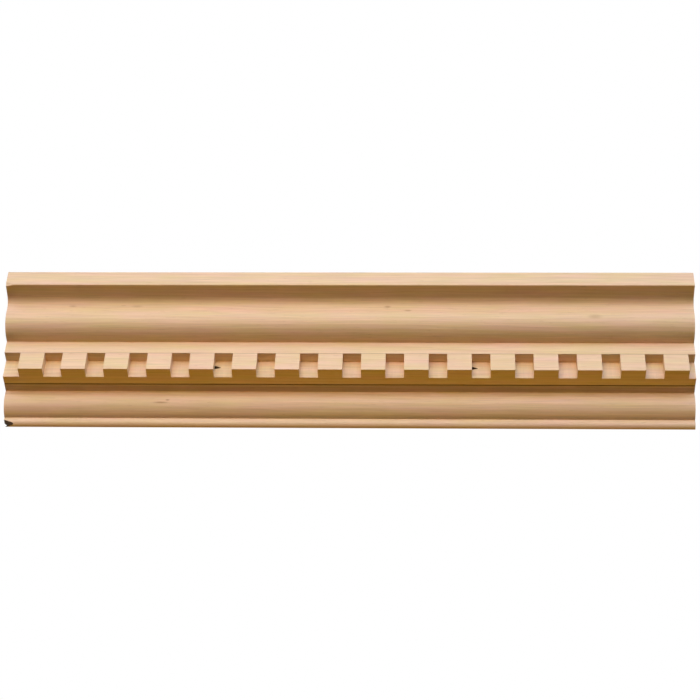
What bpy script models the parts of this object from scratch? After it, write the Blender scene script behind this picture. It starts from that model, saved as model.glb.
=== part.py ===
"""Dentil crown moulding: a sprung softwood board with a strip of dentils let into it.

The moulding is drawn as it is fixed, in the corner between a wall and a ceiling. X runs
along the wall, the worked face looks along -Y and down, and +Z is up. The origin is the
middle of the flat that lies against the wall.

The section is drawn in two distances from the top front arris: how far back towards the
wall a point lies, and how far down from the ceiling.
"""

import math

import bmesh
import bpy
from mathutils import Matrix, Vector

MM = 0.001

# Length of the piece, and the flats it is nailed through to the wall and the ceiling.
# The back joins the two flats, which gives the spring of 38 degrees from the wall.
LENGTH = 403.0 * MM
WALL_FACE = 15.0 * MM                   # height of the flat against the wall
CEILING_FACE = 11.6 * MM                # depth of the flat against the ceiling

# Top fillet and the cove under it
TOP_FILLET = 11.1 * MM
COVE_ROOF = 8.1 * MM                    # from the fillet's face back to where the hollow starts
COVE_ROOF_FALL = math.radians(8.0)      # the roof drops a little towards the back
COVE_RADIUS = 5.5 * MM
COVE_STRAIGHT = 3.3 * MM                # upright stretch between the hollow and the ovolo

# Upper ovolo and the plain band under it
OVOLO_RADIUS = 11.1 * MM
BAND_QUIRK = 2.3 * MM                   # flat between the ovolo's foot and the band's face
BAND_HEIGHT = 9.3 * MM

# Dentil strip, seated in a rebate under the band
STRIP_HEIGHT = 12.8 * MM
STRIP_WEB = 5.7 * MM                    # what is left behind the cuts between the dentils
STRIP_CLEARANCE = 0.3 * MM              # glue line, above and behind the strip
DENTIL_PROUD = 6.7 * MM                 # how far a dentil stands out of the web
DENTIL_WIDTH = 14.25 * MM
DENTIL_PITCH = 25.0 * MM
FIRST_DENTIL = 9.6 * MM                 # from the left end to the first dentil

# Ledge behind the strip, lower ovolo and the nosing at the foot
LEDGE_DEPTH = 5.9 * MM
LOWER_OVOLO_STRAIGHT = 3.8 * MM
LOWER_OVOLO_RADIUS = 9.9 * MM
LOWER_OVOLO_TURN = math.radians(82.5)   # the round stops short of level at the nosing
NOSING_STRAIGHT = 1.7 * MM
NOSING_RADIUS = 2.9 * MM
NOSING_UNDERSIDE = 0.4 * MM             # flat between the nosing and the wall

# Wear on the worked face
FILLET_ARRIS = 0.8 * MM                 # softened edges of the top fillet
BAND_ARRIS = 0.3 * MM                   # softened lower edge of the band
CHIP_LENGTH = 5.0 * MM                  # along the nosing from the left end
CHIP_BACK_LENGTH = 2.0 * MM             # along the nosing's back edge
CHIP_TURN = math.radians(34.0)          # how far round the nosing the chip's tip lies

# Roundness of the curved members
ARC_STEP = math.radians(5.0)

# Places along the section, worked out from the sizes above
COVE_SWEEP = math.pi / 2 - COVE_ROOF_FALL
COVE_ROOF_FOOT = TOP_FILLET + COVE_ROOF * math.tan(COVE_ROOF_FALL)
COVE_AXIS_BACK = COVE_ROOF - COVE_RADIUS * math.cos(COVE_SWEEP)
COVE_AXIS_DOWN = COVE_ROOF_FOOT + COVE_RADIUS * math.sin(COVE_SWEEP)
COVE_WALL_BACK = COVE_AXIS_BACK + COVE_RADIUS
OVOLO_TOP = COVE_AXIS_DOWN + COVE_STRAIGHT
OVOLO_FOOT = OVOLO_TOP + OVOLO_RADIUS
BAND_BACK = COVE_WALL_BACK + OVOLO_RADIUS + BAND_QUIRK
BAND_FOOT = OVOLO_FOOT + BAND_HEIGHT
WEB_BACK = BAND_BACK + DENTIL_PROUD
REBATE_BACK = WEB_BACK + STRIP_WEB + STRIP_CLEARANCE
REBATE_FOOT = BAND_FOOT + STRIP_CLEARANCE + STRIP_HEIGHT
LOWER_OVOLO_BACK = REBATE_BACK + LEDGE_DEPTH
LOWER_OVOLO_TOP = REBATE_FOOT + LOWER_OVOLO_STRAIGHT
NOSING_BACK = LOWER_OVOLO_BACK + LOWER_OVOLO_RADIUS * (1.0 - math.cos(LOWER_OVOLO_TURN))
NOSING_TOP = LOWER_OVOLO_TOP + LOWER_OVOLO_RADIUS * math.sin(LOWER_OVOLO_TURN)
DROP = NOSING_TOP + NOSING_STRAIGHT + NOSING_RADIUS
PROJECTION = NOSING_BACK + NOSING_RADIUS + NOSING_UNDERSIDE

# Local X, Y and Z of a section drawn flat become world Y, Z and X
SECTION_TURN = (math.pi / 2, 0.0, math.pi / 2)

PINE = (0.80, 0.58, 0.42, 1.0)
PINE_STRIP = (0.80, 0.60, 0.43, 1.0)
WOOD_ROUGHNESS = 0.62


def clear_scene():
    """Remove every object of the scene."""
    for item in list(bpy.data.objects):
        bpy.data.objects.remove(item, do_unlink=True)


def new_collection(name):
    """Add a collection to the scene and return it."""
    collection = bpy.data.collections.new(name)
    bpy.context.scene.collection.children.link(collection)
    return collection


def wood_material(name, colour):
    """Return a plain sawn softwood finish."""
    material = bpy.data.materials.new(name)
    material.use_nodes = True
    shader = material.node_tree.nodes["Principled BSDF"]
    shader.inputs["Base Color"].default_value = colour
    shader.inputs["Roughness"].default_value = WOOD_ROUGHNESS
    shader.inputs["Metallic"].default_value = 0.0
    material.diffuse_color = colour
    return material


def to_row(back, down):
    """Turn a point of the section into (Y, Z), with the wall at Y = 0."""
    return (back - PROJECTION, DROP - WALL_FACE / 2 - down)


def arc(centre_back, centre_down, radius, start, end):
    """Points of an arc, by the angle of the surface: 0 is upright, 90 degrees is level.

    A positive radius bulges towards the room and a negative one is hollow.
    """
    steps = max(2, math.ceil(abs(end - start) / ARC_STEP))
    points = []
    for step in range(steps + 1):
        angle = start + (end - start) * step / steps
        points.append((centre_back - radius * math.cos(angle),
                       centre_down + radius * math.sin(angle)))
    return points


def lower_arris(back, down, radius):
    """The small round of a lower front edge whose sharp corner would be at (back, down)."""
    return arc(back + radius, down - radius, radius, 0.0, math.pi / 2)


def top_arris():
    """The small round where the top fillet meets the ceiling."""
    return arc(FILLET_ARRIS, FILLET_ARRIS, FILLET_ARRIS, -math.pi / 2, 0.0)


def cove():
    """The hollow that turns the roof under the top fillet into the cove's wall."""
    return arc(COVE_AXIS_BACK, COVE_AXIS_DOWN, -COVE_RADIUS, COVE_SWEEP, 0.0)


def upper_ovolo():
    """The quarter round between the cove's wall and the band."""
    return arc(COVE_WALL_BACK + OVOLO_RADIUS, OVOLO_TOP, OVOLO_RADIUS, 0.0, math.pi / 2)


def lower_ovolo():
    """The round under the ledge."""
    return arc(LOWER_OVOLO_BACK + LOWER_OVOLO_RADIUS, LOWER_OVOLO_TOP,
               LOWER_OVOLO_RADIUS, 0.0, LOWER_OVOLO_TURN)


def nosing():
    """The rounded lip at the foot."""
    return arc(NOSING_BACK + NOSING_RADIUS, DROP - NOSING_RADIUS,
               NOSING_RADIUS, 0.0, math.pi / 2)


def crown_section():
    """The board's section, from the top front arris down the face and up the back."""
    points = top_arris()
    points += lower_arris(0.0, TOP_FILLET, FILLET_ARRIS)
    points += cove()
    points += upper_ovolo()
    points += [(BAND_BACK, OVOLO_FOOT)]
    points += lower_arris(BAND_BACK, BAND_FOOT, BAND_ARRIS)
    points += [(REBATE_BACK, BAND_FOOT),
               (REBATE_BACK, REBATE_FOOT),
               (LOWER_OVOLO_BACK, REBATE_FOOT)]
    points += lower_ovolo()
    points += [(NOSING_BACK, NOSING_TOP)]
    points += nosing()
    points += [(PROJECTION, DROP),
               (PROJECTION, DROP - WALL_FACE),
               (CEILING_FACE, 0.0)]
    return [to_row(back, down) for back, down in points]


def strip_plan():
    """The strip seen from above: a web along the back with the dentils standing out of it."""
    front = BAND_BACK - PROJECTION
    web = WEB_BACK - PROJECTION
    rear = web + STRIP_WEB
    left = -LENGTH / 2
    points = [(left, rear), (left, web)]
    start = left + FIRST_DENTIL
    while start + DENTIL_WIDTH <= LENGTH / 2:
        end = start + DENTIL_WIDTH
        points += [(start, web), (start, front), (end, front), (end, web)]
        start += DENTIL_PITCH
    points += [(LENGTH / 2, web), (LENGTH / 2, rear)]
    return points


def outline_object(name, points, thickness, collection):
    """A closed flat outline made into a plate, half its thickness to each side."""
    curve = bpy.data.curves.new(name, "CURVE")
    curve.dimensions = "2D"
    curve.fill_mode = "BOTH"
    curve.extrude = thickness / 2
    spline = curve.splines.new("POLY")
    spline.points.add(len(points) - 1)
    for point, (across, up) in zip(spline.points, points):
        point.co = (across, up, 0.0, 1.0)
    spline.use_cyclic_u = True
    plate = bpy.data.objects.new(name, curve)
    collection.objects.link(plate)
    return plate


def as_mesh(curve_object, collection):
    """Replace a curve object by a mesh of the same shape and place, with its caps welded."""
    bpy.context.view_layer.update()
    name = curve_object.name
    evaluated = curve_object.evaluated_get(bpy.context.evaluated_depsgraph_get())
    mesh = bpy.data.meshes.new_from_object(evaluated)
    shape = bmesh.new()
    shape.from_mesh(mesh)
    bmesh.ops.remove_doubles(shape, verts=shape.verts, dist=0.01 * MM)
    bmesh.ops.recalc_face_normals(shape, faces=shape.faces)
    shape.to_mesh(mesh)
    shape.free()
    place = curve_object.matrix_world.copy()
    bpy.data.objects.remove(curve_object, do_unlink=True)
    solid = bpy.data.objects.new(name, mesh)
    solid.matrix_world = place
    collection.objects.link(solid)
    return solid


def chip_points():
    """Three places on the chip's face: on the end, at its tip, and on the back edge."""
    end = -LENGTH / 2
    level = DROP - NOSING_RADIUS
    centre = NOSING_BACK + NOSING_RADIUS
    tip_back = centre - NOSING_RADIUS * math.cos(CHIP_TURN)
    tip_down = level + NOSING_RADIUS * math.sin(CHIP_TURN)
    return (Vector((end, *to_row(NOSING_BACK, level))),
            Vector((end + CHIP_LENGTH, *to_row(tip_back, tip_down))),
            Vector((end + CHIP_BACK_LENGTH, *to_row(centre, DROP))))


def chip_cutter(collection):
    """A block whose upper face is the broken surface at the nosing's left end."""
    on_end, tip, on_back = chip_points()
    outward = (on_back - on_end).cross(tip - on_end).normalized()
    if outward.z > 0:
        outward.negate()
    size = 2 * CHIP_LENGTH
    bpy.ops.mesh.primitive_cube_add(size=size)
    block = bpy.context.active_object
    block.name = "chip_cutter"
    centre = (on_end + tip + on_back) / 3 + outward * size / 2
    turn = outward.to_track_quat("Z", "Y").to_matrix().to_4x4()
    block.matrix_world = Matrix.Translation(centre) @ turn
    block.hide_render = True
    block.display_type = "WIRE"
    for holder in list(block.users_collection):
        holder.objects.unlink(block)
    collection.objects.link(block)
    return block


def build_crown(parts, cutters):
    """The sprung board with its chipped nosing."""
    plate = outline_object("crown_moulding", crown_section(), LENGTH, parts)
    plate.rotation_euler = SECTION_TURN
    board = as_mesh(plate, parts)
    chip = board.modifiers.new("chip", "BOOLEAN")
    chip.operation = "DIFFERENCE"
    chip.solver = "EXACT"
    chip.object = chip_cutter(cutters)
    board.data.shade_smooth()
    board.data.set_sharp_from_angle(angle=math.radians(30.0))
    board.data.materials.append(wood_material("pine_board", PINE))
    return board


def build_strip(parts):
    """The dentil strip, hard up in its rebate but for the glue line."""
    plate = outline_object("dentil_strip", strip_plan(), STRIP_HEIGHT, parts)
    middle = BAND_FOOT + STRIP_CLEARANCE + STRIP_HEIGHT / 2
    plate.location.z = to_row(0.0, middle)[1]
    strip = as_mesh(plate, parts)
    strip.data.materials.append(wood_material("pine_strip", PINE_STRIP))
    return strip


def main():
    clear_scene()
    parts = new_collection("dentil_crown_moulding")
    cutters = new_collection("cutters")
    build_crown(parts, cutters)
    build_strip(parts)


main()
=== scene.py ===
"""Looks of a dentil crown moulding: a dressed softwood board, its dentil strip and a studio.

Lengths in the classes below are millimetres unless a name says otherwise, and the meshes are
in metres. X runs along the moulding, the worked face looks along -Y and down, +Z is up.
"""

import logging
import math
from collections.abc import Iterable, Mapping, Sequence
from dataclasses import dataclass, field
from enum import Enum
from typing import Any

import bmesh
import bpy
from bpy.types import ID, Material, Mesh, Node, NodeSocket, NodeTree, Object
from mathutils import Matrix, Vector, noise


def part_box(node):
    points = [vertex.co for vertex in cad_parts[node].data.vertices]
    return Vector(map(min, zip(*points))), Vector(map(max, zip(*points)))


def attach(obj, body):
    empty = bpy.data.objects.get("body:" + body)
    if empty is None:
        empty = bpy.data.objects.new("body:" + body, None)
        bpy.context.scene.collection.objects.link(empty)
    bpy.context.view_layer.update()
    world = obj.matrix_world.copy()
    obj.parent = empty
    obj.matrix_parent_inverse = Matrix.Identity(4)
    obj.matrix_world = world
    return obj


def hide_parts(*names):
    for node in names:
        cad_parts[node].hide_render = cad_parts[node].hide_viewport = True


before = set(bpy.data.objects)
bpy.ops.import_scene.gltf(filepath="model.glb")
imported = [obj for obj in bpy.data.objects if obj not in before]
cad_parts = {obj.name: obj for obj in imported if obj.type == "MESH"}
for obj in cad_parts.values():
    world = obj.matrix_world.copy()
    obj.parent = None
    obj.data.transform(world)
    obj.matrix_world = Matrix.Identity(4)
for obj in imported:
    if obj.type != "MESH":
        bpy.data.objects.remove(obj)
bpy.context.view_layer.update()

log = logging.getLogger("dentil_moulding")

MM = 0.001
PER_METRE = 1000.0
BODY = "root"
FULL_LENGTH = 1.0e5                 # for a mark that runs along the whole moulding
CROSSCUT = 0.7                      # least share of a normal along X on a crosscut face
NEAR_END = 0.499                    # share of the length from the middle to just inside an end
Point = tuple[float, float]
Colour = tuple[float, float, float, float]

# Faces of the lumps that take a bite out of the wood, by corner: a prism of two triangles, and
# a spike with four corners at its root and one at its tip. Then how often each of their edges
# is divided, and how fast their tearing changes along X, Y and Z.
PRISM = ((0, 1, 2), (3, 4, 5), (0, 1, 4, 3), (1, 2, 5, 4), (2, 0, 3, 5))
SPIKE = ((0, 1, 3, 2), (0, 1, 4), (1, 3, 4), (3, 2, 4), (2, 0, 4))
LUMP_CUTS = 9
TEAR_RATES = (0.4, 1.6, 1.6)

# Marks in the board: X, how far back and down, half length, half width and strength.
BOARD_FLECKS = (
    (143.8, 13.13, 23.53, 6.0, 2.4, 0.30),
    (-109.0, 45.81, 62.57, 6.5, 0.9, 0.60),
    (-105.2, 45.24, 61.09, 1.8, 0.8, 0.60),
    (23.1, 12.63, 16.20, 2.8, 1.1, 0.45),
    (35.0, 12.835, 19.13, 3.2, 1.1, 0.45),
    (-162.5, 12.63, 16.20, 3.4, 1.1, 0.35),
    (-124.4, 12.63, 16.20, 5.0, 1.1, 0.30),
)


def linear(hex_colour: str) -> Colour:
    """Turn an sRGB hex colour into linear RGBA.

    Args:
        hex_colour: six hex digits after a hash.

    Returns:
        Linear red, green, blue and an alpha of 1.
    """
    channels = [int(hex_colour[i:i + 2], 16) / 255.0 for i in (1, 3, 5)]
    red, green, blue = (
        c / 12.92 if c <= 0.04045 else ((c + 0.055) / 1.055) ** 2.4 for c in channels
    )
    return red, green, blue, 1.0


def add_node(
    tree: NodeTree,
    kind: str,
    inputs: Mapping[str | int, Any] | None = None,
    **settings: Any,
) -> Node:
    """Add a node to a tree with its settings, values and links.

    Args:
        tree: the shader or geometry tree that gets the node.
        kind: Blender's name of the node type.
        inputs: for each input, by name or place, a value or the output that feeds it.
        settings: attributes of the node.

    Returns:
        The new node.
    """
    node = tree.nodes.new(kind)
    for name, value in settings.items():
        setattr(node, name, value)
    for key, value in (inputs or {}).items():
        socket = node.inputs[key]
        if isinstance(value, NodeSocket):
            tree.links.new(value, socket)
        else:
            socket.default_value = value
    return node


def link_object(name: str, data: ID) -> Object:
    """Put new data into the scene as an object at the origin and return it."""
    item = bpy.data.objects.new(name, data)
    bpy.context.scene.collection.objects.link(item)
    return item


class Cut(Enum):
    """How a surface of the wood was left: a word for its material, and how deep its bumps are."""

    LONG = "planed", 0.02
    END = "end_grain", 0.05
    NOTCH = "milled", 0.02          # across the grain, by the cutter of the dentils
    # a broken face, whose material is darkened with painted shade and some dirt
    TORN = "torn", 0.12

    def __init__(self, word: str, bump: float) -> None:
        """Keep the word and the depth."""
        self.word, self.bump = word, bump


@dataclass(frozen=True)
class Section:
    """The section of the moulding, in distances back and down from the top front arris."""

    projection: float
    drop: float
    wall_face: float = 15.0
    ceiling_face: float = 11.6
    top_fillet: float = 11.1
    cove_roof: float = 8.1
    cove_roof_fall: float = math.radians(8.0)
    cove_radius: float = 5.5
    cove_straight: float = 3.3
    ovolo_radius: float = 11.1
    band_quirk: float = 2.3
    band_height: float = 9.3
    strip_height: float = 12.8
    strip_web: float = 5.7
    strip_clearance: float = 0.3
    dentil_proud: float = 6.7
    ledge_depth: float = 5.9
    lower_straight: float = 3.8
    lower_radius: float = 9.9
    lower_turn: float = math.radians(82.5)
    nosing_radius: float = 2.9
    fillet_arris: float = 0.8
    band_arris: float = 0.15
    ledge_arris: float = 0.4
    back_arris: float = 0.3
    arc_step: float = math.radians(2.5)

    @property
    def cove_wall(self) -> float:
        """How far back the upright under the cove's hollow lies."""
        sweep = math.pi / 2 - self.cove_roof_fall
        return self.cove_roof - self.cove_radius * math.cos(sweep) + self.cove_radius

    @property
    def ovolo_top(self) -> float:
        """How far down the upper ovolo starts."""
        sweep = math.pi / 2 - self.cove_roof_fall
        roof_foot = self.top_fillet + self.cove_roof * math.tan(self.cove_roof_fall)
        return roof_foot + self.cove_radius * math.sin(sweep) + self.cove_straight

    @property
    def band_back(self) -> float:
        """How far back the plain band's face lies, and the dentils' faces with it."""
        return self.cove_wall + self.ovolo_radius + self.band_quirk

    @property
    def band_foot(self) -> float:
        """How far down the plain band ends."""
        return self.ovolo_top + self.ovolo_radius + self.band_height

    @property
    def web_back(self) -> float:
        """How far back the strip's web lies between the dentils."""
        return self.band_back + self.dentil_proud

    @property
    def rebate_back(self) -> float:
        """How far back the rebate behind the strip reaches."""
        return self.web_back + self.strip_web + self.strip_clearance

    @property
    def rebate_foot(self) -> float:
        """How far down the rebate and the strip end."""
        return self.band_foot + self.strip_clearance + self.strip_height

    @property
    def nosing_back(self) -> float:
        """How far back the nosing's upright face lies."""
        front = self.rebate_back + self.ledge_depth
        return front + self.lower_radius * (1.0 - math.cos(self.lower_turn))

    def to_row(self, back: float, down: float) -> Point:
        """Turn a place in the section into (Y, Z), with the wall at Y = 0."""
        return back - self.projection, self.drop - self.wall_face / 2 - down

    def arc(
        self, back: float, down: float, radius: float, start: float, end: float
    ) -> list[Point]:
        """Points of an arc, by the angle of the surface: 0 is upright and a right angle level.

        Args:
            back: where the centre lies.
            down: where the centre lies.
            radius: above 0 for a round towards the room, below 0 for a hollow.
            start: angle of the surface where the arc starts.
            end: angle of the surface where the arc ends.

        Returns:
            Places back and down, the two ends included.
        """
        steps = max(4, math.ceil(abs(end - start) / self.arc_step))
        angles = [start + (end - start) * step / steps for step in range(steps + 1)]
        return [(back - radius * math.cos(a), down + radius * math.sin(a)) for a in angles]

    def arris(self, back: float, down: float, radius: float) -> list[Point]:
        """The small round of a lower front edge whose sharp corner would be at (back, down)."""
        return self.arc(back + radius, down - radius, radius, 0.0, math.pi / 2)

    def worked_face(self) -> list[Point]:
        """The moulded side, from the ceiling down to the foot of the nosing."""
        soft = self.fillet_arris
        sweep = math.pi / 2 - self.cove_roof_fall
        ovolo_top = self.ovolo_top
        hollow_back = self.cove_wall - self.cove_radius
        hollow_down = ovolo_top - self.cove_straight
        lower_back = self.rebate_back + self.ledge_depth
        lower_top = self.rebate_foot + self.lower_straight
        top = self.back_arris
        points = self.arc(top, top, top, -math.pi / 2, 0.0)
        points += self.arris(0.0, self.top_fillet, soft)
        points += self.arc(hollow_back, hollow_down, -self.cove_radius, sweep, 0.0)
        points += self.arc(self.cove_wall + self.ovolo_radius, ovolo_top,
                           self.ovolo_radius, 0.0, math.pi / 2)
        points += [(self.band_back, ovolo_top + self.ovolo_radius)]
        points += self.arris(self.band_back, self.band_foot, self.band_arris)
        points += [(self.rebate_back, self.band_foot)]
        points += [(self.rebate_back, self.rebate_foot - self.ledge_arris),
                   (self.rebate_back + self.ledge_arris, self.rebate_foot)]
        points += [(lower_back, self.rebate_foot)]
        points += self.arc(lower_back + self.lower_radius, lower_top,
                           self.lower_radius, 0.0, self.lower_turn)
        points += [(self.nosing_back, lower_top + self.lower_radius * math.sin(self.lower_turn))]
        points += self.arc(self.nosing_back + self.nosing_radius, self.drop - self.nosing_radius,
                           self.nosing_radius, 0.0, math.pi / 2)
        return points

    def back_face(self) -> list[Point]:
        """The plain side: up the wall, along the slope of the back, to the ceiling."""
        soft = self.back_arris
        slope = Vector((self.projection - self.ceiling_face,
                        self.drop - self.wall_face)).normalized()
        upper = Vector((self.ceiling_face, 0.0))
        lower = Vector((self.projection, self.drop - self.wall_face))
        return [(self.projection - soft, self.drop), (self.projection, self.drop - soft),
                (lower.x, lower.y + soft), tuple(lower - slope * soft),
                tuple(upper + slope * soft), (upper.x - soft, 0.0)]


@dataclass(frozen=True)
class Fleck:
    """A small mark in the grain, such as a pin knot or a streak of resin.

    Attributes:
        centre: its place in X, Y and Z.
        length: half its extent along the grain.
        width: half its extent across the grain.
        strength: how far it darkens the wood, from 0 to 1.
    """

    centre: tuple[float, float, float]
    length: float
    width: float
    strength: float


@dataclass(frozen=True)
class Streaks:
    """A pattern of noise drawn out along the grain.

    Attributes:
        along: size of a streak along the grain.
        across: size of a streak across the grain.
        detail: octaves of finer noise.
        shift: moves the pattern, so that two of them don't repeat each other.
        counts: the part of the noise, within 0 to 1, that shows.
        gives: what the two ends of that part turn into.
    """

    along: float
    across: float
    detail: float
    shift: float
    counts: Point = (0.0, 1.0)
    gives: Point = (0.0, 1.0)


@dataclass(frozen=True)
class Pine:
    """Clear, unfinished pine, planed or sawn, with growth rings that run through the piece.

    Pale cream to the eye, a little pink and a little yellow in long soft patches, with fine
    straight lines of latewood along the length and a dull satin surface.
    """

    name: str
    early: str = "#EACEAC"          # spring growth, the pale body of the wood
    late: str = "#D6AC74"           # the narrow summer line of each ring
    warm: str = "#F3CBB8"           # pinkish patches
    cool: str = "#E6D39A"           # yellowish patches
    resin: str = "#9A6A34"          # resin canals and flecks
    stain_and_shade: str = "#2E1A08"          # dirt and painted shade in a joint and in a break
    end: str = "#E2C6A2"            # darkens the end grain
    pith: Point = (70.0, -45.0)     # Y and Z of the tree's centre
    grain_slope: float = 0.012      # how far the rings climb for each millimetre of length
    ring_spacing: float = 2.6
    ring_wander: float = 7.0        # how far a ring strays
    year_change: float = 0.45       # how fast the years change in width
    year_spread: float = 1.6        # how far that moves the rings, in years
    late_rise: tuple[Point, ...] = ((0.45, 0.10), (0.80, 0.75), (0.90, 1.0))    # in each year
    late_contrast: float = 0.45
    tint_share: float = 0.5
    # how far a torn face is darkened: painted shade, with some dirt
    torn_shade_and_dirt: float = 0.92
    mark_core: float = 0.1          # share of a mark that is darkened in full
    roughness: float = 0.5
    wander: Streaks = Streaks(160.0, 22.0, 1.0, 3.1)
    patches: Streaks = Streaks(34.0, 5.0, 3.0, 7.7, counts=(0.3, 0.7))
    fibre: Streaks = Streaks(24.0, 0.7, 3.0, 11.3, gives=(0.80, 1.18))
    canals: Streaks = Streaks(5.0, 0.35, 0.0, 17.9, (0.74, 0.84), (0.0, 0.25))
    chatter: Streaks = Streaks(0.9, 9.0, 1.0, 23.1, gives=(0.93, 1.06))
    flecks: tuple[Fleck, ...] = ()
    joints: tuple[Fleck, ...] = ()  # glue and dirt along each joint, with painted shade of its crease
    seed: float = 0.0

    def coordinates(self, tree: NodeTree) -> NodeSocket:
        """Object coordinates in millimetres."""
        place = add_node(tree, "ShaderNodeTexCoord")
        scaled = add_node(tree, "ShaderNodeVectorMath", {0: place.outputs["Object"],
                                                         "Scale": PER_METRE}, operation="SCALE")
        return scaled.outputs[0]

    def drawn(self, tree: NodeTree, place: NodeSocket, pattern: Streaks) -> Node:
        """Draw a pattern and return its noise node, whose Fac is from 0 to 1."""
        thin = 1.0 / pattern.across
        shift = pattern.shift
        mapped = add_node(tree, "ShaderNodeMapping",
                          {"Vector": place, "Scale": (1.0 / pattern.along, thin, thin),
                           "Location": (shift + self.seed, 2.0 * shift - self.seed, shift)})
        return add_node(tree, "ShaderNodeTexNoise",
                        {"Vector": mapped.outputs[0], "Scale": 1.0, "Detail": pattern.detail,
                         "Roughness": 0.5})

    def ranged(self, tree: NodeTree, drawn: Node, pattern: Streaks) -> NodeSocket:
        """Turn the part of a drawn pattern that counts into what it gives."""
        (least, most), (low, high) = pattern.counts, pattern.gives
        return add_node(tree, "ShaderNodeMapRange",
                        {"Value": drawn.outputs["Fac"], "From Min": least, "From Max": most,
                         "To Min": low, "To Max": high}).outputs["Result"]

    def rings(self, tree: NodeTree, place: NodeSocket) -> NodeSocket:
        """Latewood lines: 0 in the spring growth, rising to 1 and falling off sharply."""
        wander = self.drawn(tree, place, self.wander)
        centred = add_node(tree, "ShaderNodeVectorMath",
                           {0: wander.outputs["Color"], 1: (0.5, 0.5, 0.5)}, operation="SUBTRACT")
        drift = add_node(tree, "ShaderNodeVectorMath",
                         {0: centred.outputs[0], "Scale": self.ring_wander}, operation="SCALE")
        moved = add_node(tree, "ShaderNodeVectorMath", {0: place, 1: drift.outputs[0]},
                         operation="ADD")
        parts = add_node(tree, "ShaderNodeSeparateXYZ", {0: moved.outputs[0]})
        climb = add_node(tree, "ShaderNodeMath", {0: parts.outputs["X"], 1: self.grain_slope,
                                                  2: parts.outputs["Z"]},
                         operation="MULTIPLY_ADD")
        flat = add_node(tree, "ShaderNodeCombineXYZ", {"X": 0.0, "Y": parts.outputs["Y"],
                                                       "Z": climb.outputs[0]})
        distance = add_node(tree, "ShaderNodeVectorMath",
                            {0: flat.outputs[0], 1: (0.0, *self.pith)}, operation="DISTANCE")
        turns = add_node(tree, "ShaderNodeMath", {0: distance.outputs["Value"],
                                                  1: self.ring_spacing}, operation="DIVIDE")
        uneven = add_node(tree, "ShaderNodeTexNoise",
                          {"W": turns.outputs[0], "Scale": self.year_change, "Detail": 1.0},
                          noise_dimensions="1D")
        years = add_node(tree, "ShaderNodeMath",
                         {0: uneven.outputs["Fac"], 1: self.year_spread, 2: turns.outputs[0]},
                         operation="MULTIPLY_ADD")
        year = add_node(tree, "ShaderNodeMath", {0: years.outputs[0]}, operation="FRACT")
        ramp = add_node(tree, "ShaderNodeValToRGB", {"Fac": year.outputs[0]})
        stops = ramp.color_ramp.elements
        stops[0].color = stops[1].color = (0.0, 0.0, 0.0, 1.0)
        for position, value in self.late_rise:
            stop = stops.new(position)
            stop.color = (value, value, value, 1.0)
        return ramp.outputs["Color"]

    def mark_mask(
        self, tree: NodeTree, place: NodeSocket, marks: Sequence[Fleck]
    ) -> NodeSocket | None:
        """How much some marks darken a place, or None where there are no marks."""
        total = None
        for fleck in marks:
            away = add_node(tree, "ShaderNodeVectorMath", {0: place, 1: fleck.centre},
                            operation="SUBTRACT")
            reach = (1.0 / fleck.length, 1.0 / fleck.width, 1.0 / fleck.width)
            scaled = add_node(tree, "ShaderNodeVectorMath", {0: away.outputs[0], 1: reach},
                              operation="MULTIPLY")
            far = add_node(tree, "ShaderNodeVectorMath", {0: scaled.outputs[0]},
                           operation="LENGTH")
            mask = add_node(tree, "ShaderNodeMapRange",
                            {"Value": far.outputs["Value"], "From Min": 1.0,
                             "From Max": self.mark_core, "To Min": 0.0,
                             "To Max": fleck.strength}, interpolation_type="SMOOTHSTEP")
            if total is None:
                total = mask.outputs["Result"]
            else:
                total = add_node(tree, "ShaderNodeMath", {0: total, 1: mask.outputs["Result"]},
                                 operation="MAXIMUM").outputs[0]
        return total

    def blend(
        self, tree: NodeTree, share: Any, first: Any, second: Any,
        mode: str = "MIX",
    ) -> NodeSocket:
        """Mix two colours.

        Args:
            tree: the material's tree.
            share: how much of the second, as a value or an output.
            first: a colour or an output.
            second: a colour or an output.
            mode: Blender's blend mode.

        Returns:
            The mixed colour.
        """
        mix = add_node(tree, "ShaderNodeMix", {0: share, 6: first, 7: second},
                       data_type="RGBA", blend_type=mode)
        return mix.outputs[2]

    def sound_colour(
        self, tree: NodeTree, place: NodeSocket, ring: NodeSocket, fibre: Node
    ) -> NodeSocket:
        """The colour of sound wood, with its marks, and glue, dirt and painted shade along each
        joint.

        Args:
            tree: the material's tree.
            place: coordinates in millimetres.
            ring: the latewood lines.
            fibre: the noise of the fibres.

        Returns:
            The colour.
        """
        contrast = add_node(tree, "ShaderNodeMath", {0: ring, 1: self.late_contrast},
                            operation="MULTIPLY")
        colour = self.blend(tree, contrast.outputs[0], linear(self.early), linear(self.late))
        patches = self.ranged(tree, self.drawn(tree, place, self.patches), self.patches)
        tint = self.blend(tree, patches, linear(self.warm), linear(self.cool))
        colour = self.blend(tree, self.tint_share, colour, tint)
        colour = self.blend(tree, 1.0, colour, self.ranged(tree, fibre, self.fibre), "MULTIPLY")
        dots = self.ranged(tree, self.drawn(tree, place, self.canals), self.canals)
        colour = self.blend(tree, dots, colour, linear(self.resin))
        # Resin for the flecks; along each joint a near-black brown of glue, dirt and painted
        # shade.
        for marks, stain_and_shade in ((self.flecks, self.resin), (self.joints, self.stain_and_shade)):
            mask = self.mark_mask(tree, place, marks)
            if mask is not None:
                colour = self.blend(tree, mask, colour, linear(stain_and_shade))
        return colour

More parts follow.
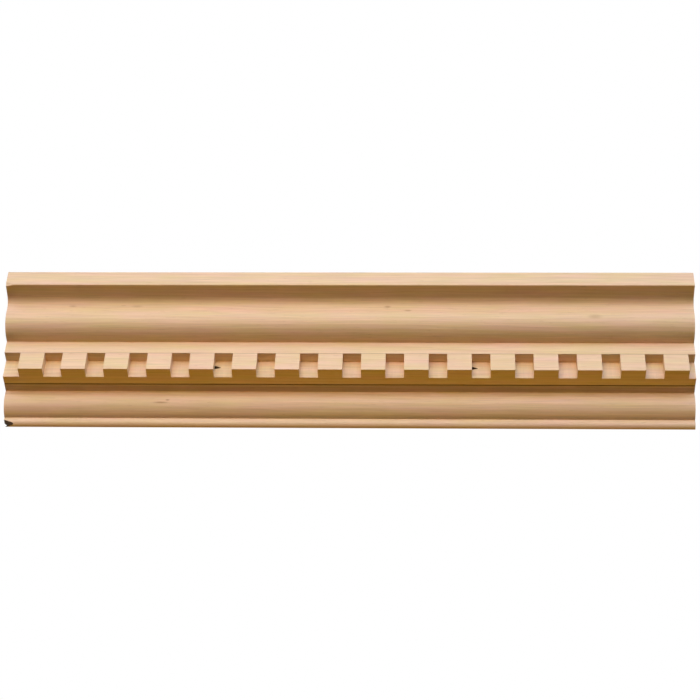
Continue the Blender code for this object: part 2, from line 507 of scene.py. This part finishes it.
    def material(self, cut: Cut) -> Material:
        """Make the finish of one kind of cut.

        Args:
            cut: how the surface was left.

        Returns:
            The material.
        """
        material = bpy.data.materials.new(f"{self.name}_{cut.word}")
        material.use_nodes = True
        tree = material.node_tree
        shader = tree.nodes["Principled BSDF"]
        place = self.coordinates(tree)
        ring = self.rings(tree, place)
        fibre = self.drawn(tree, place, self.fibre)
        colour = self.sound_colour(tree, place, ring, fibre)
        if cut is Cut.END:
            colour = self.blend(tree, 1.0, colour, linear(self.end), "MULTIPLY")
        if cut is Cut.NOTCH:
            stripes = self.ranged(tree, self.drawn(tree, place, self.chatter), self.chatter)
            colour = self.blend(tree, 1.0, colour, stripes, "MULTIPLY")
        # A torn face goes almost black brown: painted shade, with some dirt.
        if cut is Cut.TORN:
            colour = self.blend(tree, self.torn_shade_and_dirt, colour, linear(self.stain_and_shade))
        height = add_node(tree, "ShaderNodeMath", {0: fibre.outputs["Fac"], 1: ring},
                          operation="ADD")
        bump = add_node(tree, "ShaderNodeBump", {"Height": height.outputs[0], "Strength": 1.0,
                                                 "Distance": cut.bump * MM})
        tree.links.new(bump.outputs["Normal"], shader.inputs["Normal"])
        tree.links.new(colour, shader.inputs["Base Color"])
        shader.inputs["Roughness"].default_value = 1.0 if cut is Cut.TORN else self.roughness
        return material


@dataclass
class Tree:
    """A geometry tree with named inputs, run once on an object.

    Attributes:
        name: the tree's name.
    """

    name: str
    group: NodeTree = field(init=False)
    source: Node = field(init=False)
    values: dict[str, Any] = field(init=False, default_factory=dict)

    def __post_init__(self) -> None:
        """Make the group with a geometry socket at each end."""
        self.group = bpy.data.node_groups.new(self.name, "GeometryNodeTree")
        self.group.interface.new_socket("Geometry", in_out="INPUT",
                                        socket_type="NodeSocketGeometry")
        self.group.interface.new_socket("Geometry", in_out="OUTPUT",
                                        socket_type="NodeSocketGeometry")
        self.source = self.group.nodes.new("NodeGroupInput")

    def named(self, name: str, value: Any) -> NodeSocket:
        """Add a named input with its value and return the output that carries it.

        Args:
            name: the input's name.
            value: a length in metres, a count or a material.

        Returns:
            The socket on the group's input node.
        """
        kinds = {int: "NodeSocketInt", float: "NodeSocketFloat",
                 Material: "NodeSocketMaterial"}
        item = self.group.interface.new_socket(name, in_out="INPUT",
                                               socket_type=kinds[type(value)])
        self.values[item.identifier] = value
        return self.source.outputs[name]

    def node(self, kind: str, inputs: Mapping[str | int, Any] | None = None,
             **settings: Any) -> Node:
        """Add a node to the tree, as add_node does."""
        return add_node(self.group, kind, inputs, **settings)

    def math(self, operation: str, *terms: Any) -> NodeSocket:
        """Add a Math node and return its result."""
        return self.node("ShaderNodeMath", dict(enumerate(terms)), operation=operation).outputs[0]

    def vector(self, x: Any = 0.0, y: Any = 0.0, z: Any = 0.0) -> NodeSocket:
        """Put three values together as a vector."""
        return self.node("ShaderNodeCombineXYZ", {"X": x, "Y": y, "Z": z}).outputs[0]

    def box(self, *size: Any) -> NodeSocket:
        """Add a box round the origin, by its sizes along X, Y and Z."""
        return self.node("GeometryNodeMeshCube", {"Size": self.vector(*size)}).outputs[0]

    def moved(self, shape: NodeSocket, *way: Any) -> NodeSocket:
        """Move a shape along X, Y and Z."""
        return self.node("GeometryNodeTransform",
                         {"Geometry": shape, "Translation": self.vector(*way)}).outputs[0]

    def above(self, value: Any, limit: Any) -> NodeSocket:
        """Compare two values and return whether the first is the greater."""
        return self.node("FunctionNodeCompare", {0: value, 1: limit}, data_type="FLOAT",
                         operation="GREATER_THAN").outputs[0]

    def both(self, first: NodeSocket, second: NodeSocket) -> NodeSocket:
        """Return whether two tests hold together."""
        return self.node("FunctionNodeBooleanMath", {0: first, 1: second},
                         operation="AND").outputs[0]

    def dress(self, shape: NodeSocket, material: NodeSocket,
              where: NodeSocket | None = None) -> NodeSocket:
        """Give a shape a material, all over or on some of its faces.

        Args:
            shape: the geometry.
            material: the material.
            where: which faces get it, or None for all.

        Returns:
            The dressed geometry.
        """
        inputs = {"Geometry": shape, "Material": material}
        if where is not None:
            inputs["Selection"] = where
        return self.node("GeometryNodeSetMaterial", inputs).outputs[0]

    def crosscut(self) -> NodeSocket:
        """Return whether a face lies across the grain, which runs along X."""
        normal = self.node("GeometryNodeInputNormal")
        lengthwise = self.node("ShaderNodeSeparateXYZ", {0: normal.outputs[0]})
        return self.above(self.math("ABSOLUTE", lengthwise.outputs["X"]), CROSSCUT)

    def finish(self, shape: NodeSocket) -> None:
        """End the tree with its output."""
        self.node("NodeGroupOutput", {0: shape})

    def run(self, item: Object) -> None:
        """Put the tree on an object as a modifier, with its named inputs set."""
        modifier = item.modifiers.new(self.name, "NODES")
        modifier.node_group = self.group
        for identifier, value in self.values.items():
            modifier[identifier] = value


def plain_mesh(item: Object) -> Mesh:
    """Make the plain mesh that an object's modifiers give."""
    bpy.context.view_layer.update()
    graph = bpy.context.evaluated_depsgraph_get()
    return bpy.data.meshes.new_from_object(item.evaluated_get(graph), depsgraph=graph,
                                           preserve_all_data_layers=True)


def settle(item: Object, name: str) -> Object:
    """Replace an object by its plain mesh, without the material slots that no face uses.

    Args:
        item: the object with its modifiers.
        name: the name of the plain object.

    Returns:
        A new object at the origin.
    """
    mesh = plain_mesh(item)
    bpy.data.objects.remove(item, do_unlink=True)
    used = {face.material_index for face in mesh.polygons}
    for slot in reversed(range(len(mesh.materials))):
        if slot not in used:
            mesh.materials.pop(index=slot)
    mesh.name = name
    return link_object(name, mesh)


def rough_lump(name: str, corners: Sequence[Vector], faces: Sequence[Sequence[int]],
               material: Material, roughness: float, seed: int) -> Object:
    """Make a closed, rough lump that takes a bite out of the wood where it broke.

    Args:
        name: name of the lump.
        corners: its corners in millimetres, as (X, Y, Z).
        faces: the corners of each face.
        material: the finish that it leaves behind.
        roughness: how far its faces are torn in and out, in millimetres.
        seed: above 0, fixes the tearing, which would else change from run to run.

    Returns:
        The lump as an object.
    """
    shape = bmesh.new()
    places = [shape.verts.new(corner) for corner in corners]
    for face in faces:
        shape.faces.new([places[index] for index in face])
    bmesh.ops.subdivide_edges(shape, edges=shape.edges, cuts=LUMP_CUTS, use_grid_fill=True)
    bmesh.ops.triangulate(shape, faces=shape.faces)
    noise.seed_set(seed)
    for vertex in shape.verts:
        place = Vector([part * rate for part, rate in zip(vertex.co, TEAR_RATES)])
        vertex.co = (vertex.co + noise.noise_vector(place) * roughness) * MM
    bmesh.ops.recalc_face_normals(shape, faces=shape.faces)
    mesh = bpy.data.meshes.new(name)
    shape.to_mesh(mesh)
    shape.free()
    mesh.materials.append(material)
    return link_object(name, mesh)


def beyond(
    corners: Sequence[Vector], reach: float, spread: float, outward: Vector
) -> list[Vector]:
    """Make the corners of a prism that takes off what lies beyond a sloping break.

    Args:
        corners: three places on the break.
        reach: how far the prism stands out from it.
        spread: how many times wider than the three places it is.
        outward: any direction on the side that is taken off.

    Returns:
        Six corners.
    """
    middle = sum(corners, Vector()) / len(corners)
    wide = [middle + (corner - middle) * spread for corner in corners]
    normal = (corners[1] - corners[0]).cross(corners[2] - corners[0]).normalized()
    if normal.dot(outward) < 0.0:
        normal.negate()
    return wide + [corner + normal * reach for corner in wide]


def cut_away(item: Object, cutters: Iterable[Object]) -> None:
    """Cut closed shapes out of a piece and remove them.

    Args:
        item: the piece, which keeps its name.
        cutters: the shapes, whose materials go onto the cut faces.
    """
    for cutter in cutters:
        bite = item.modifiers.new(cutter.name, "BOOLEAN")
        bite.operation = "DIFFERENCE"
        bite.solver = "EXACT"
        bite.material_mode = "TRANSFER"
        bite.object = cutter
        mesh = plain_mesh(item)
        item.modifiers.remove(bite)
        item.data = mesh
        bpy.data.objects.remove(cutter, do_unlink=True)


@dataclass
class CrownBoard:
    """The sprung board, run off with its moulded face, and broken at one corner."""

    section: Section
    length: float
    wood: Pine
    station: float = 2.0            # spacing of the cross sections
    waver_depth: float = 0.12       # how far the cutter wandered into the face
    waver_size: float = 38.0        # length of one such wander
    waver_seed: float = 4.0
    crease: float = math.radians(30.0)      # edges that bend more than this look sharp
    chip_length: float = 5.0        # the broken corner of the nosing, at the left end
    chip_back_length: float = 2.0
    chip_rear_down: float = 0.3     # how far below the nosing's centre it ends at the back
    chip_turn: float = math.radians(34.0)
    chip_reach: float = 8.0         # how far the lump stands out from the break
    chip_spread: float = 3.0        # how many times wider than the break it is
    chip_roughness: float = 0.15
    chip_seed: int = 3
    bruise_length: float = 5.6      # the crushed arris of the top fillet, at the left end
    bruise_height: float = 2.5
    bruise_depth: float = 1.2
    bruise_under: float = 0.1       # how far under the fillet's corner it starts
    bruise_tip: float = 0.15        # how far inside that corner it ends
    bruise_reach: float = 4.0
    bruise_spread: float = 1.9
    bruise_roughness: float = 0.12
    bruise_seed: int = 8

    def profile(self) -> Object:
        """The closed section as a loop of edges, marked where it was worked.

        A section's X and Y lie along -Y and -Z of a rail that runs along +X.
        """
        face, back = self.section.worked_face(), self.section.back_face()
        rows = [self.section.to_row(*point) for point in face + back]
        mesh = bpy.data.meshes.new("section")
        count = len(rows)
        mesh.from_pydata([(-y * MM, -z * MM, 0.0) for y, z in rows],
                         [(i, (i + 1) % count) for i in range(count)], [])
        worked = mesh.attributes.new("worked", "FLOAT", "POINT")
        worked.data.foreach_set("value", [1.0] * len(face) + [0.0] * len(back))
        return link_object("section", mesh)

    def wavered(self, tree: Tree, shape: NodeSocket) -> NodeSocket:
        """Move the worked face in here and there, where the cutter wandered.

        Args:
            tree: the board's tree.
            shape: the board as it would be run off without that.

        Returns:
            The moved geometry.
        """
        depth = tree.named("Waver depth", self.waver_depth * MM)
        size = tree.named("Waver size", self.waver_size * MM)
        seed = tree.named("Seed", self.waver_seed)
        place = tree.node("GeometryNodeInputPosition")
        scaled = tree.node("ShaderNodeVectorMath",
                           {0: place.outputs[0], 1: tree.vector(size, size, size)},
                           operation="DIVIDE")
        waver = tree.node("ShaderNodeTexNoise", {"Vector": scaled.outputs[0], "W": seed,
                                                 "Scale": 1.0, "Detail": 1.0},
                          noise_dimensions="4D")
        worked = tree.node("GeometryNodeInputNamedAttribute", {"Name": "worked"},
                           data_type="FLOAT")
        inward = tree.math("MULTIPLY", tree.math("MULTIPLY", waver.outputs[0], depth),
                           tree.math("MULTIPLY", worked.outputs[0], -1.0))
        normal = tree.node("GeometryNodeInputNormal")
        across_only = tree.node("ShaderNodeVectorMath",
                                {0: normal.outputs[0], 1: (0.0, 1.0, 1.0)},
                                operation="MULTIPLY")
        offset = tree.node("ShaderNodeVectorMath",
                           {0: across_only.outputs[0], "Scale": inward}, operation="SCALE")
        return tree.node("GeometryNodeSetPosition",
                         {"Geometry": shape, "Offset": offset.outputs[0]}).outputs[0]

    def tree(self) -> Tree:
        """The tree that runs the section along the length and lets the face waver a little."""
        tree = Tree("run_moulding")
        length = tree.named("Length", self.length * MM)
        station = tree.named("Station spacing", self.station * MM)
        along = tree.named("Long grain", self.wood.material(Cut.LONG))
        across = tree.named("End grain", self.wood.material(Cut.END))

        half = tree.math("MULTIPLY", length, 0.5)
        rail = tree.node("GeometryNodeCurvePrimitiveLine",
                         {"Start": tree.vector(tree.math("MULTIPLY", half, -1.0)),
                          "End": tree.vector(half)})
        count = tree.math("CEIL", tree.math("DIVIDE", length, station))
        stations = tree.node("GeometryNodeResampleCurve",
                             {"Curve": rail.outputs[0], "Count": count})
        section = tree.node("GeometryNodeMeshToCurve", {"Mesh": tree.source.outputs[0]})
        run = tree.node("GeometryNodeCurveToMesh",
                        {"Curve": stations.outputs[0], "Profile Curve": section.outputs[0],
                         "Fill Caps": True})
        whole = tree.node("GeometryNodeMergeByDistance",
                          {"Geometry": run.outputs[0], "Distance": 0.001 * MM})

        bend = tree.node("GeometryNodeInputMeshEdgeAngle")
        smooth = tree.node("GeometryNodeSetShadeSmooth",
                           {0: self.wavered(tree, whole.outputs[0]), "Shade Smooth": True})
        creased = tree.node("GeometryNodeSetShadeSmooth",
                            {0: smooth.outputs[0],
                             "Selection": tree.above(bend.outputs[0], self.crease),
                             "Shade Smooth": False}, domain="EDGE")
        real = tree.node("GeometryNodeRealizeInstances", {"Geometry": creased.outputs[0]})
        planed = tree.dress(real.outputs[0], along)
        tree.finish(tree.dress(planed, across, tree.crosscut()))
        return tree

    def place(self, along: float, back: float, down: float) -> Vector:
        """Turn a distance from the left end and a place in the section into X, Y and Z."""
        return Vector((along - self.length / 2, *self.section.to_row(back, down)))

    def chip(self, material: Material) -> list[Object]:
        """The lumps that take the lower corner off the nosing: a long splinter and its end."""
        part = self.section
        centre_back = part.nosing_back + part.nosing_radius
        centre_down = part.drop - part.nosing_radius
        tip = (centre_back - part.nosing_radius * math.cos(self.chip_turn),
               centre_down + part.nosing_radius * math.sin(self.chip_turn))
        start = self.place(0.0, part.nosing_back, centre_down)
        splinter = [start, self.place(self.chip_length, *tip),
                    self.place(self.chip_back_length, centre_back, part.drop)]
        corner = [start, self.place(self.chip_back_length, *tip),
                  self.place(0.0, part.projection, centre_down + self.chip_rear_down)]
        lumps = []
        for which, face in enumerate((splinter, corner)):
            corners = beyond(face, self.chip_reach, self.chip_spread, Vector((-1.0, -1.0, -1.0)))
            lumps.append(rough_lump(f"chip_{which}", corners, PRISM, material,
                                    self.chip_roughness, self.chip_seed))
        return lumps

    def bruise(self) -> Object:
        """The lump that flattens the lower arris of the top fillet."""
        foot = self.section.top_fillet
        crushed = [self.place(0.0, 0.0, foot - self.bruise_height),
                   self.place(0.0, self.bruise_depth, foot + self.bruise_under),
                   self.place(self.bruise_length, self.bruise_tip, foot - self.bruise_tip)]
        corners = beyond(crushed, self.bruise_reach, self.bruise_spread,
                         Vector((-0.3, -1.0, -1.0)))
        return rough_lump("bruise", corners, PRISM, self.wood.material(Cut.NOTCH),
                          self.bruise_roughness, self.bruise_seed)

    def build(self) -> Object:
        """Make the board and put it in the frame.

        Returns:
            The piece that stands for the CAD board.
        """
        loop = self.profile()
        self.tree().run(loop)
        board = settle(loop, "crown_board")
        cut_away(board, [*self.chip(self.wood.material(Cut.TORN)), self.bruise()])
        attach(board, BODY)
        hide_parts("crown_moulding")
        return board


@dataclass
class DentilStrip:
    """The strip let in under the band, notched so that square blocks stand between."""

    section: Section
    length: float
    wood: Pine
    dentil_width: float = 14.25
    pitch: float = 25.0
    first: float = 9.6              # from the left end to the first dentil
    glue_line: float = 0.05         # what is left of the clearance over the strip
    kerf_width: float = 0.6         # the outer teeth of the cutter bite a little deeper
    kerf_depth: float = 0.12
    arris: float = 0.2
    rear_arris: float = 0.5         # opens the joint under the strip
    sharp: float = math.radians(45.0)       # edges that bend more than this have an arris
    torn_gaps: tuple[int, ...] = (5, 11)    # dentils whose right side tore the web beside it
    tear_length: float = 4.6
    tear_height: float = 3.4
    tear_depth: float = 1.7
    tear_down: float = 46.6         # how far down the tear-outs lie
    tear_front: float = 0.6         # how far the lumps stand out of the web
    tear_inset: float = 0.05        # and into the dentil
    tear_roughness: float = 0.12

    def cutter(
        self, tree: Tree, gap: NodeSocket, proud: NodeSocket, tall: NodeSocket
    ) -> NodeSocket:
        """The shape of one notch, with the kerfs of the cutter's outer teeth at its sides.

        Args:
            tree: the strip's tree.
            gap: width between two dentils.
            proud: depth of the notch.
            tall: height of the shape, which is more than the strip's.

        Returns:
            The shape, round the origin.
        """
        kerf = tree.named("Kerf width", self.kerf_width * MM)
        bite = tree.named("Kerf depth", self.kerf_depth * MM)
        milled = tree.named("Milled across", self.wood.material(Cut.NOTCH))
        deeper = tree.math("MULTIPLY", tree.math("ADD", proud, bite), 2.0)
        tooth = tree.box(kerf, deeper, tall)
        side = tree.math("MULTIPLY", tree.math("SUBTRACT", gap, kerf), 0.5)
        shapes = (tree.box(gap, tree.math("MULTIPLY", proud, 2.0), tall),
                  tree.moved(tooth, tree.math("MULTIPLY", side, -1.0)), tree.moved(tooth, side))
        union = tree.node("GeometryNodeMeshBoolean", {"Self Intersection": True},
                          operation="UNION", solver="EXACT")
        for shape in shapes:
            tree.group.links.new(tree.dress(shape, milled), union.inputs["Mesh 2"])
        return union.outputs[0]

    def tree(self) -> Tree:
        """The tree that saws the row of notches out of a plain bar and marks its arrises."""
        part = self.section
        tree = Tree("notch_strip")
        length = tree.named("Length", self.length * MM)
        pitch = tree.named("Pitch", self.pitch * MM)
        width = tree.named("Dentil width", self.dentil_width * MM)
        first = tree.named("First dentil", self.first * MM)
        proud = tree.named("Dentil proud", part.dentil_proud * MM)
        web = tree.named("Web", part.strip_web * MM)
        height = tree.named("Height", (part.strip_height + part.strip_clearance
                                       - self.glue_line) * MM)
        foot = tree.named("Foot", part.to_row(0.0, part.rebate_foot)[1] * MM)
        front = tree.named("Front", part.to_row(part.band_back, 0.0)[0] * MM)
        softness = tree.named("Front arris share", self.arris / self.rear_arris)
        along = tree.named("Long grain", self.wood.material(Cut.LONG))
        across = tree.named("End grain", self.wood.material(Cut.END))

        middle = tree.math("ADD", foot, tree.math("MULTIPLY", height, 0.5))
        deep = tree.math("ADD", web, proud)
        rear_middle = tree.math("ADD", front, tree.math("MULTIPLY", deep, 0.5))
        bar = tree.moved(tree.box(length, deep, height), 0.0, rear_middle, middle)
        gap = tree.math("SUBTRACT", pitch, width)
        cutter = self.cutter(tree, gap, proud, tree.math("MULTIPLY", height, 2.0))
        count = tree.math("CEIL", tree.math("DIVIDE", length, pitch))
        start = tree.math("ADD", tree.math("MULTIPLY", length, -0.5),
                          tree.math("SUBTRACT", first, tree.math("MULTIPLY", gap, 0.5)))
        row = tree.node("GeometryNodeMeshLine",
                        {"Count": count, "Start Location": tree.vector(start, front, middle),
                         "Offset": tree.vector(pitch)})
        notches = tree.node("GeometryNodeInstanceOnPoints",
                            {"Points": row.outputs[0], "Instance": cutter})
        real = tree.node("GeometryNodeRealizeInstances", {"Geometry": notches.outputs[0]})
        cut = tree.node("GeometryNodeMeshBoolean",
                        {"Mesh 1": tree.dress(bar, along), "Mesh 2": real.outputs[0]},
                        operation="DIFFERENCE", solver="EXACT")

        place = tree.node("GeometryNodeInputPosition")
        spot = tree.node("ShaderNodeSeparateXYZ", {0: place.outputs[0]})
        from_middle = tree.math("ABSOLUTE", spot.outputs["X"])
        near_end = tree.math("MULTIPLY", length, NEAR_END)
        is_end = tree.both(tree.crosscut(), tree.above(from_middle, near_end))
        dressed = tree.dress(cut.outputs[0], across, is_end)
        bend = tree.node("GeometryNodeInputMeshEdgeAngle")
        is_arris = tree.both(tree.above(bend.outputs["Signed Angle"], self.sharp),
                             tree.above(near_end, from_middle))
        web_middle = tree.math("ADD", proud, tree.math("MULTIPLY", web, 0.5))
        is_rear = tree.above(spot.outputs["Y"], tree.math("ADD", front, web_middle))
        weight = tree.node("GeometryNodeSwitch",
                           {"Switch": is_rear, "False": softness, "True": 1.0},
                           input_type="FLOAT")
        marked = tree.node("GeometryNodeStoreNamedAttribute",
                           {"Geometry": dressed, "Name": "bevel_weight_edge",
                            "Selection": is_arris, "Value": weight.outputs[0]},
                           data_type="FLOAT", domain="EDGE")
        tree.finish(marked.outputs[0])
        return tree

    def tear_out(self, dentil: int, material: Material) -> Object:
        """The lump that tears the web open beside a dentil.

        Args:
            dentil: which dentil, counted from the left from 1.
            material: the finish of the torn wood.

        Returns:
            The lump.
        """
        part = self.section
        side = self.first + (dentil - 1) * self.pitch + self.dentil_width - self.length / 2
        web, middle = part.to_row(part.web_back, self.tear_down)
        half = self.tear_height / 2
        root, front, rear = side - self.tear_inset, web - self.tear_front, web + self.tear_depth
        corners = [Vector((root, front, middle + half)),
                   Vector((root, front, middle - half)),
                   Vector((root, rear, middle + half * 0.4)),
                   Vector((root, rear, middle - half * 0.5)),
                   Vector((side + self.tear_length, front, middle - half * 0.1))]
        return rough_lump(f"tear_out_{dentil}", corners, SPIKE, material,
                          self.tear_roughness, dentil)

    def build(self) -> Object:
        """Make the strip and put it in the frame.

        Returns:
            The piece that stands for the CAD strip.
        """
        seed = link_object("strip_seed", bpy.data.meshes.new("strip_seed"))
        self.tree().run(seed)
        soften = seed.modifiers.new("arrises", "BEVEL")
        soften.width, soften.segments = self.rear_arris * MM, 2
        soften.limit_method = "WEIGHT"
        strip = settle(seed, "dentil_row")
        torn = self.wood.material(Cut.TORN)
        cut_away(strip, [self.tear_out(dentil, torn) for dentil in self.torn_gaps])
        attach(strip, BODY)
        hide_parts("dentil_strip")
        return strip


@dataclass(frozen=True)
class SoftBox:
    """A broad soft light that points at the middle of the moulding.

    Attributes:
        name: what the light is for.
        azimuth: degrees round the moulding, 0 in front of it and 90 off its right end.
        elevation: degrees above level.
        power: watts.
        width: metres.
        height: metres.
        distance: metres.
        colour: sRGB hex.
    """

    name: str
    azimuth: float
    elevation: float
    power: float
    width: float = 2.4
    height: float = 0.8
    distance: float = 2.5
    colour: str = "#FFFFFF"

    def build(self, target: Vector) -> Object:
        """Hang the light and point it at the target."""
        lamp = bpy.data.lights.new(self.name, "AREA")
        lamp.shape = "RECTANGLE"
        lamp.size, lamp.size_y = self.width, self.height
        lamp.energy = self.power
        lamp.color = linear(self.colour)[:3]
        item = link_object(self.name, lamp)
        item.visible_camera = False
        away = direction(self.azimuth, self.elevation)
        item.matrix_world = Matrix.Translation(target + away * self.distance) @ \
            away.to_track_quat("Z", "Y").to_matrix().to_4x4()
        return item


def direction(azimuth: float, elevation: float) -> Vector:
    """The direction from the moulding towards a place round it, both angles in degrees."""
    turn, rise = math.radians(azimuth), math.radians(elevation)
    return Vector((math.sin(turn) * math.cos(rise), -math.cos(turn) * math.cos(rise),
                   math.sin(rise)))


@dataclass
class Studio:
    """A pale floor, soft lights and the camera below and in front of the moulding."""

    azimuth: float = 3.515
    elevation: float = -45.0
    roll: float = 2.633
    distance: float = 1.206
    focal_ratio: float = 2.957              # focal length over the picture's width
    target: tuple[float, float, float] = (0.0015, -0.032, 0.0252)
    sensor: float = 36.0
    floor_height: float = -1.1
    floor_size: float = 60.0
    lights: Sequence[SoftBox] = (
        SoftBox("upper_front", 0.0, 34.0, 42.0, 5.0, 1.7, 2.5, "#C4E4FF"),
        SoftBox("level_front", 0.0, 5.0, 36.0, 3.6, 0.9, 2.5, "#F9F7FF"),
        SoftBox("level_left", -58.0, 8.0, 12.0, 1.8, 1.0, 2.5, "#F9F7FF"),
        SoftBox("level_right", 58.0, 8.0, 8.0, 1.8, 1.0, 2.5, "#F9F7FF"),
        SoftBox("low_front", -9.0, -12.0, 1.8, 0.4, 0.26, 0.8, "#FFC22C"),
        SoftBox("reflector_below", -4.0, -125.0, 6.0, 1.2, 0.3, 1.6, "#FFC22C"),
        SoftBox("rear", 180.0, 35.0, 50.0, 3.0, 1.6, 2.5, "#FFF4E4"),
        SoftBox("left_end", -102.0, 8.0, 16.0, 1.6, 1.6, 2.5, "#FFF4E4"),
        SoftBox("right_end", 102.0, 8.0, 16.0, 1.6, 1.6, 2.5, "#FFF4E4"),
    )

    def build_camera(self) -> None:
        """Make the camera and point it, with its roll, at the target."""
        lens = bpy.data.cameras.new("camera")
        lens.sensor_width = self.sensor
        lens.lens = self.sensor * self.focal_ratio
        lens.clip_start, lens.clip_end = 0.05, 100.0
        camera = link_object("camera", lens)
        away = direction(self.azimuth, self.elevation)
        turned = away.to_track_quat("Z", "Y").to_matrix() @ \
            Matrix.Rotation(math.radians(self.roll), 3, "Z")
        camera.matrix_world = Matrix.Translation(Vector(self.target) + away * self.distance) @ \
            turned.to_4x4()
        bpy.context.scene.camera = camera

    def build_floor(self) -> None:
        """Lay the pale floor, which shows in other views and throws no light up."""
        mesh = bpy.data.meshes.new("floor")
        half = self.floor_size / 2
        mesh.from_pydata([(-half, -half, self.floor_height), (half, -half, self.floor_height),
                          (half, half, self.floor_height), (-half, half, self.floor_height)],
                         [], [(0, 1, 2, 3)])
        floor = link_object("floor", mesh)
        paint = bpy.data.materials.new("floor_paint")
        paint.use_nodes = True
        shader = paint.node_tree.nodes["Principled BSDF"]
        shader.inputs["Base Color"].default_value = linear("#3A3936")
        shader.inputs["Roughness"].default_value = 1.0
        shader.inputs["Specular IOR Level"].default_value = 0.0
        shader.inputs["Emission Color"].default_value = linear("#E6E3DE")
        shader.inputs["Emission Strength"].default_value = 0.9
        mesh.materials.append(paint)
        floor.visible_diffuse = False
        floor.visible_glossy = False
        floor.visible_shadow = False

    def build_world(self) -> None:
        """Surround everything with white that the camera sees and a dim warm fill."""
        world = bpy.data.worlds.new("studio")
        bpy.context.scene.world = world
        world.use_nodes = True
        tree = world.node_tree
        tree.nodes.clear()
        path = add_node(tree, "ShaderNodeLightPath")
        fill = add_node(tree, "ShaderNodeBackground", {"Color": linear("#FFCE7C"),
                                                       "Strength": 0.01})
        white = add_node(tree, "ShaderNodeBackground", {"Color": linear("#FFFFFF"),
                                                        "Strength": 1.0})
        seen = add_node(tree, "ShaderNodeMixShader", {0: path.outputs["Is Camera Ray"],
                                                      1: fill.outputs[0], 2: white.outputs[0]})
        add_node(tree, "ShaderNodeOutputWorld", {0: seen.outputs[0]})

    def build(self) -> None:
        """Make the whole studio."""
        self.build_camera()
        self.build_floor()
        self.build_world()
        for light in self.lights:
            light.build(Vector(self.target))
        bpy.context.scene.view_settings.view_transform = "Standard"


def main() -> None:
    """Build the moulding and the studio."""
    logging.basicConfig(level=logging.INFO, format="%(name)s: %(message)s")
    low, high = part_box("crown_moulding")
    size = (high - low) * PER_METRE
    section = Section(projection=size.y, drop=size.z)
    # Dark lines along the joint under the strip and at the band's foot: glue, dirt and painted
    # shade.
    joints = (Fleck((0.0, *section.to_row(section.rebate_back, section.rebate_foot)),
                    FULL_LENGTH, 0.9, 0.75),
              Fleck((0.0, *section.to_row(section.band_back, section.band_foot)),
                    FULL_LENGTH, 0.45, 0.3))
    flecks = tuple(Fleck((along, *section.to_row(back, down)), length, width, strength)
                   for along, back, down, length, width, strength in BOARD_FLECKS)
    pine = Pine("pine_board", flecks=flecks, joints=joints)
    board = CrownBoard(section, size.x, pine).build()
    log.info("%s: %d faces", board.name, len(board.data.polygons))
    strip = DentilStrip(section, size.x, Pine("pine_strip", joints=joints, seed=5.0)).build()
    log.info("%s: %d faces", strip.name, len(strip.data.polygons))
    Studio().build()


if __name__ == "__main__":
    main()
